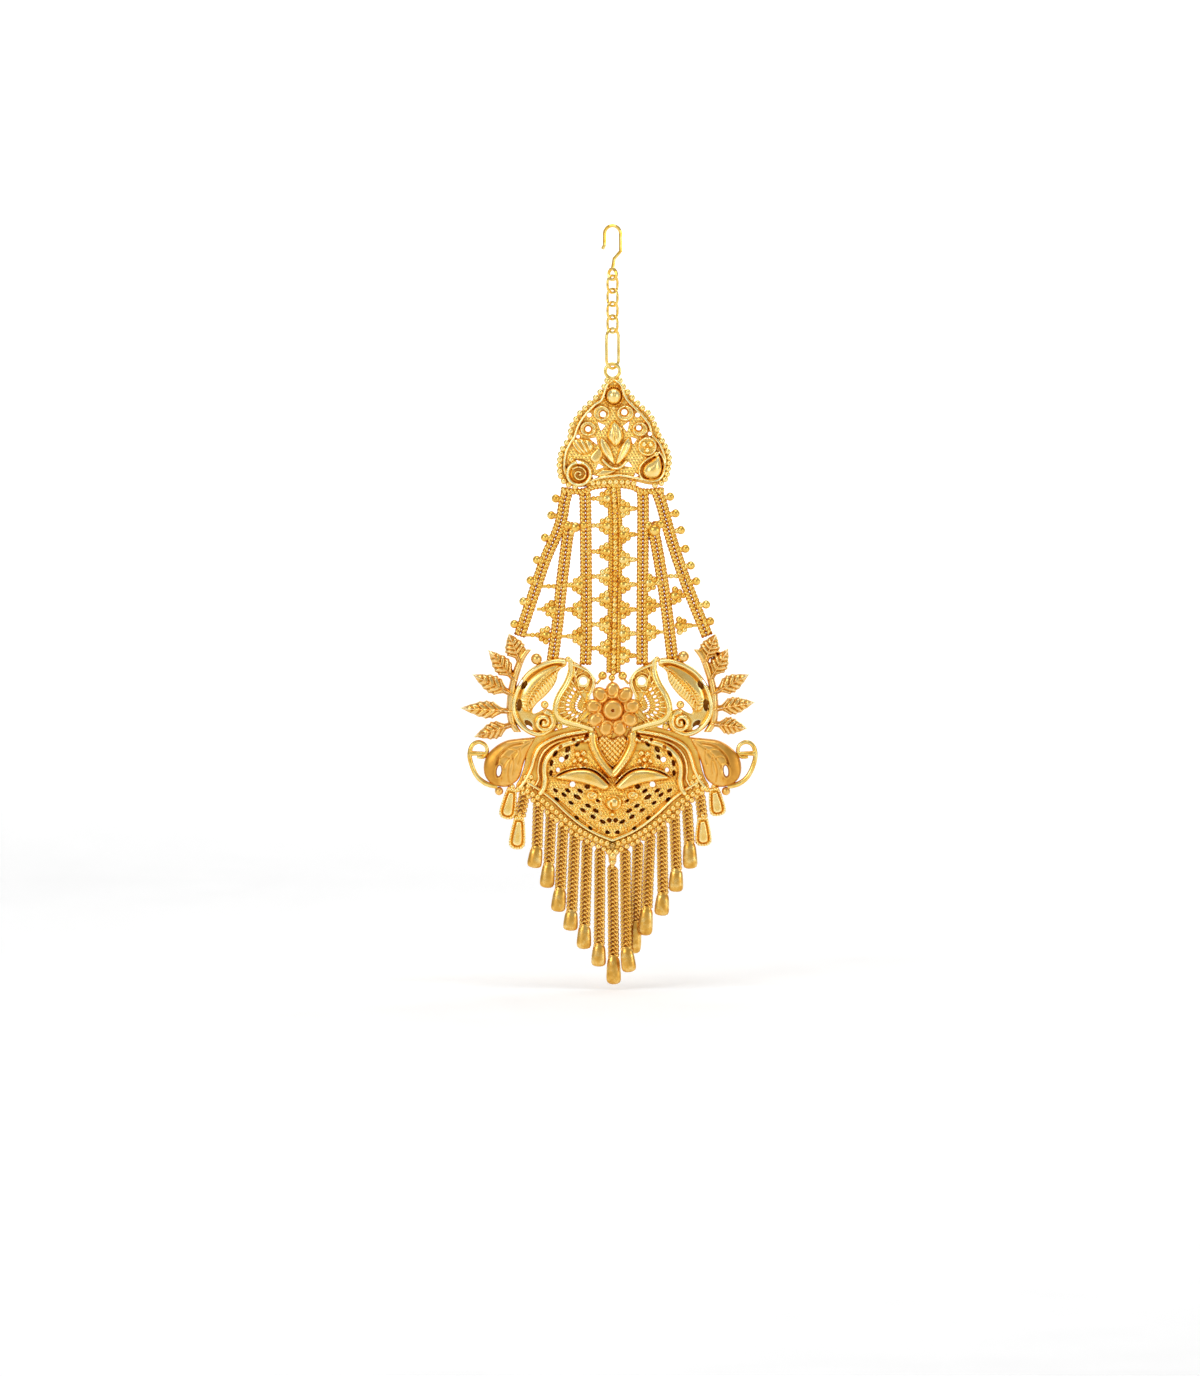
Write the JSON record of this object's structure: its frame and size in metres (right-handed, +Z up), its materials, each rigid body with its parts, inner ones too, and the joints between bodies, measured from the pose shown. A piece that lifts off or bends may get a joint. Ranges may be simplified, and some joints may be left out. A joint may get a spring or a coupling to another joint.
{
  "type": "jhoomar",
  "caption": "Gold jhoomar head ornament: pierced crest, fan of beaded wires and a scrolled medallion with leaf sprays, over a V of chain strands with drops, on a short chain with a hook.",
  "frame": {"origin": "where the hair hook bears on what holds it, the inside of its bend", "axes": "+Z up along the hanging chain, -Y out of the front, so +Y towards the head and +X to the right as seen from the front"},
  "size_m": [0.0596, 0.0048, 0.1521],
  "materials": {
    "gold": "polished and matted yellow gold",
    "pale_gold": "satin pale gold",
    "deep_gold": "satin deep gold"
  },
  "bodies": {
    "chain": {"hair_hook": "gold", "chain_link_1": "gold", "chain_link_2": "gold", "chain_link_3": "gold", "chain_link_4": "gold", "oval_link": "pale_gold"},
    "pendant": {"crest": "pale_gold", "fan_lattice": "gold", "medallion": "gold", "rosette": "gold", "leaf_spray_left": "gold", "leaf_spray_right": "gold", "pod_left": "deep_gold", "pod_right": "deep_gold", "strand_02": "deep_gold", "strand_03": "deep_gold", "strand_04": "deep_gold", "strand_05": "deep_gold", "strand_06": "deep_gold", "strand_07": "deep_gold", "strand_08": "deep_gold", "strand_09": "deep_gold", "strand_10": "deep_gold", "strand_11": "deep_gold", "strand_12": "deep_gold", "strand_13": "deep_gold", "strand_14": "deep_gold", "strand_15": "deep_gold", "strand_16": "deep_gold", "drop_01": "pale_gold", "drop_02": "pale_gold", "drop_03": "deep_gold", "drop_04": "deep_gold", "drop_05": "deep_gold", "drop_06": "deep_gold", "drop_07": "deep_gold", "drop_08": "deep_gold", "drop_09": "deep_gold", "drop_10": "deep_gold", "drop_11": "deep_gold", "drop_12": "deep_gold", "drop_13": "deep_gold", "drop_14": "deep_gold", "drop_15": "deep_gold", "drop_16": "pale_gold", "drop_17": "pale_gold"}
  },
  "joints": [
    {"name": "pendant_swing", "type": "hinge", "parent": "chain", "child": "pendant", "pos_m": [0, 0, -0.0281], "axis": [0, 1, 0], "range_deg": [-30, 30]}
  ]
}
